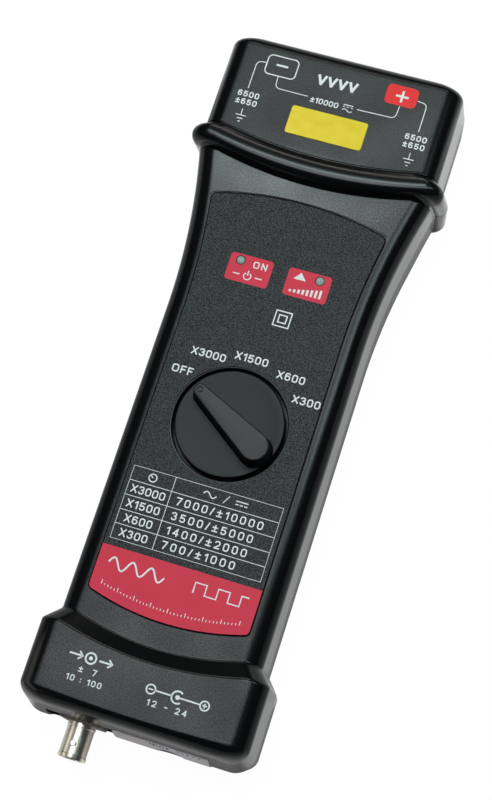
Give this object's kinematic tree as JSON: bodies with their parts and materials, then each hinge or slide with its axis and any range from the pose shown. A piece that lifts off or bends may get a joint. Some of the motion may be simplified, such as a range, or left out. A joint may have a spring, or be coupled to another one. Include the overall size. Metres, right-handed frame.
{
  "type": "oscilloscope probe",
  "caption": "Handheld high-voltage differential probe body with a rotary range switch, status lamps, shrouded input sockets, a bayonet output jack and a sliding battery door.",
  "frame": {"origin": "under the middle of the overall box, on the plane of the rear face that the probe lies on", "axes": "+Y from the output end to the input end, +Z out of the front face, +X to the right of the dial as a reader sees it"},
  "size_m": [0.094, 0.2634, 0.0455],
  "materials": {
    "shell_black": "satin moulded plastic with a very fine texture",
    "moulded_black": "smooth satin plastic",
    "red_insulator": "glossy moulded plastic",
    "overlay_charcoal": "fine-grained printed film, with crimson and white print",
    "sticker_yellow": "printed film",
    "pale_plastic": "smooth pale plastic or film",
    "white_insulator": "smooth white plastic",
    "nickel": "bright nickel plating",
    "steel": "plain bright steel",
    "brass": "gold-plated brass",
    "board_green": "solder mask on glass epoxy",
    "lamp_lens": "clear tinted resin, unlit",
    "resistor_blue": "lacquered ceramic",
    "ribbon_grey": "flat cable"
  },
  "bodies": {
    "probe_body": {"amplifier_chip": "moulded_black", "battery": "moulded_black", "battery_contacts": "brass", "battery_lead_minus": "moulded_black", "battery_lead_plus": "red_insulator", "bnc_barrel": "nickel", "bnc_contact": "brass", "bnc_housing": "pale_plastic", "bnc_insulator": "white_insulator", "board_screw_1": "steel", "board_screw_2": "steel", "board_screw_3": "steel", "board_screw_4": "steel", "case_screw_base_left": "steel", "case_screw_base_right": "steel", "case_screw_head_left": "steel", "case_screw_head_right": "steel", "detent_ball": "steel", "detent_spring": "steel", "divider_board": "board_green", "divider_resistor_minus_1": "resistor_blue", "divider_resistor_minus_2": "resistor_blue", "divider_resistor_plus_1": "resistor_blue", "divider_resistor_plus_2": "resistor_blue", "divider_screw_1": "steel", "divider_screw_2": "steel", "end_label": "pale_plastic", "face_overlay": "overlay_charcoal", "front_shell": "shell_black", "input_contact_minus": "brass", "input_contact_plus": "brass", "input_jack_minus": "moulded_black", "input_jack_plus": "red_insulator", "main_board": "board_green", "output_board": "board_green", "over_range_lamp": "lamp_lens", "over_range_lamp_spacer": "white_insulator", "power_converter": "moulded_black", "power_lamp": "lamp_lens", "power_lamp_spacer": "white_insulator", "rear_shell": "shell_black", "ribbon_cable": "ribbon_grey", "shield_can": "nickel", "supply_jack": "moulded_black", "supply_pin": "nickel", "switch_housing": "moulded_black", "switch_nut": "steel", "switch_washer": "steel", "yellow_sticker": "sticker_yellow"},
    "range_dial": {"range_knob": "moulded_black", "switch_shaft": "steel", "switch_rotor": "moulded_black", "switch_wiper": "brass"},
    "door": {"battery_door": "shell_black"}
  },
  "joints": [
    {"name": "range_switch", "type": "hinge", "parent": "probe_body", "child": "range_dial", "pos_m": [0, -0.01115, 0.034], "axis": [0, 0, -1], "range_deg": [0, 120]},
    {"name": "battery_door_slide", "type": "slide", "parent": "probe_body", "child": "door", "axis": [0, -1, 0], "range_m": [0, 0.062]}
  ]
}
